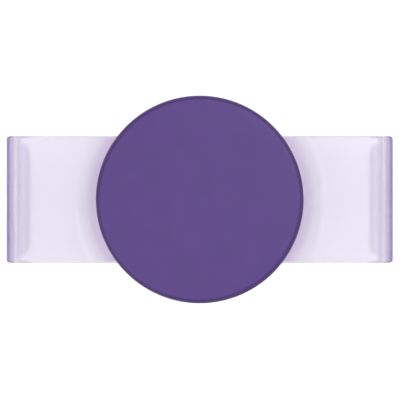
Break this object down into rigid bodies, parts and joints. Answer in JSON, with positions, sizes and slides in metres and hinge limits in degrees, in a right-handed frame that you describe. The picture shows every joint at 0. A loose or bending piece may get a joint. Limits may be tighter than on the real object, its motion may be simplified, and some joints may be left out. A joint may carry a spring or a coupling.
{
  "type": "expanding phone grip with stretch band",
  "caption": "Round collapsible phone grip on a spring-loaded band whose translucent hooked arms slide out and clip over the sides of a phone.",
  "frame": {"origin": "centre of the rear pad's face, the plane of the phone's back", "axes": "+Z out of the phone towards the disc, X along the band across the phone, Y along the phone"},
  "size_m": [0.0754, 0.0398, 0.0245],
  "materials": {
    "disc_plastic": "smooth satin violet hard plastic",
    "core_plastic": "satin violet hard plastic",
    "rigid_violet": "satin lilac hard plastic",
    "rail_plastic": "frosted hard plastic",
    "clear_band": "translucent frosted lilac elastomer",
    "bellows_rubber": "matt lilac soft elastomer",
    "soft_pad": "matt lilac soft elastomer",
    "steel": "bright steel"
  },
  "bodies": {
    "base": {"base_housing": "rigid_violet", "back_plate": "rigid_violet", "back_pad": "soft_pad", "cover_screws": "steel", "left_springs": "steel", "right_springs": "steel"},
    "left_arm": {"left_rail": "rail_plastic", "left_arm_band": "clear_band"},
    "right_arm": {"right_rail": "rail_plastic", "right_arm_band": "clear_band"},
    "swivel": {"swivel_ring": "rigid_violet", "bellows_wall_1": "bellows_rubber", "bellows_web_1": "bellows_rubber"},
    "fold_a": {"bellows_wall_2": "bellows_rubber", "bellows_web_2": "bellows_rubber"},
    "fold_b": {"bellows_wall_3": "bellows_rubber", "bellows_web_3": "bellows_rubber"},
    "hub": {"hub_insert": "rigid_violet"},
    "top": {"top_core": "core_plastic", "top_cap": "disc_plastic"}
  },
  "joints": [
    {"name": "left_arm_slide", "type": "slide", "parent": "base", "child": "left_arm", "axis": [-1, 0, 0], "range_m": [0, 0.005], "stiffness_N_per_m": 780, "springref_m": -0.005, "deforming": ["left_springs"]},
    {"name": "right_arm_slide", "type": "slide", "parent": "base", "child": "right_arm", "axis": [1, 0, 0], "range_m": [0, 0.005], "stiffness_N_per_m": 780, "springref_m": -0.005, "deforming": ["right_springs"]},
    {"name": "grip_turn", "type": "hinge", "parent": "base", "child": "swivel", "pos_m": [0, 0, 0.0062], "axis": [0, 0, 1], "continuous": true},
    {"name": "grip_extend", "type": "slide", "parent": "swivel", "child": "fold_a", "axis": [0, 0, 1], "range_m": [0, 0.0062], "deforming": ["bellows_web_1"]},
    {"name": "fold_2_extend", "type": "slide", "parent": "fold_a", "child": "fold_b", "axis": [0, 0, 1], "range_m": [0, 0.0062], "deforming": ["bellows_web_2"]},
    {"name": "fold_3_extend", "type": "slide", "parent": "fold_b", "child": "hub", "axis": [0, 0, 1], "range_m": [0, 0.0062], "deforming": ["bellows_web_3"]},
    {"name": "top_twist", "type": "hinge", "parent": "hub", "child": "top", "pos_m": [0, 0, 0.008], "axis": [0, 0, 1], "range_deg": [0, 90]}
  ],
  "couplings": [
    {"joint": "fold_2_extend", "follows": "grip_extend", "ratio": 1},
    {"joint": "fold_3_extend", "follows": "grip_extend", "ratio": 1}
  ]
}
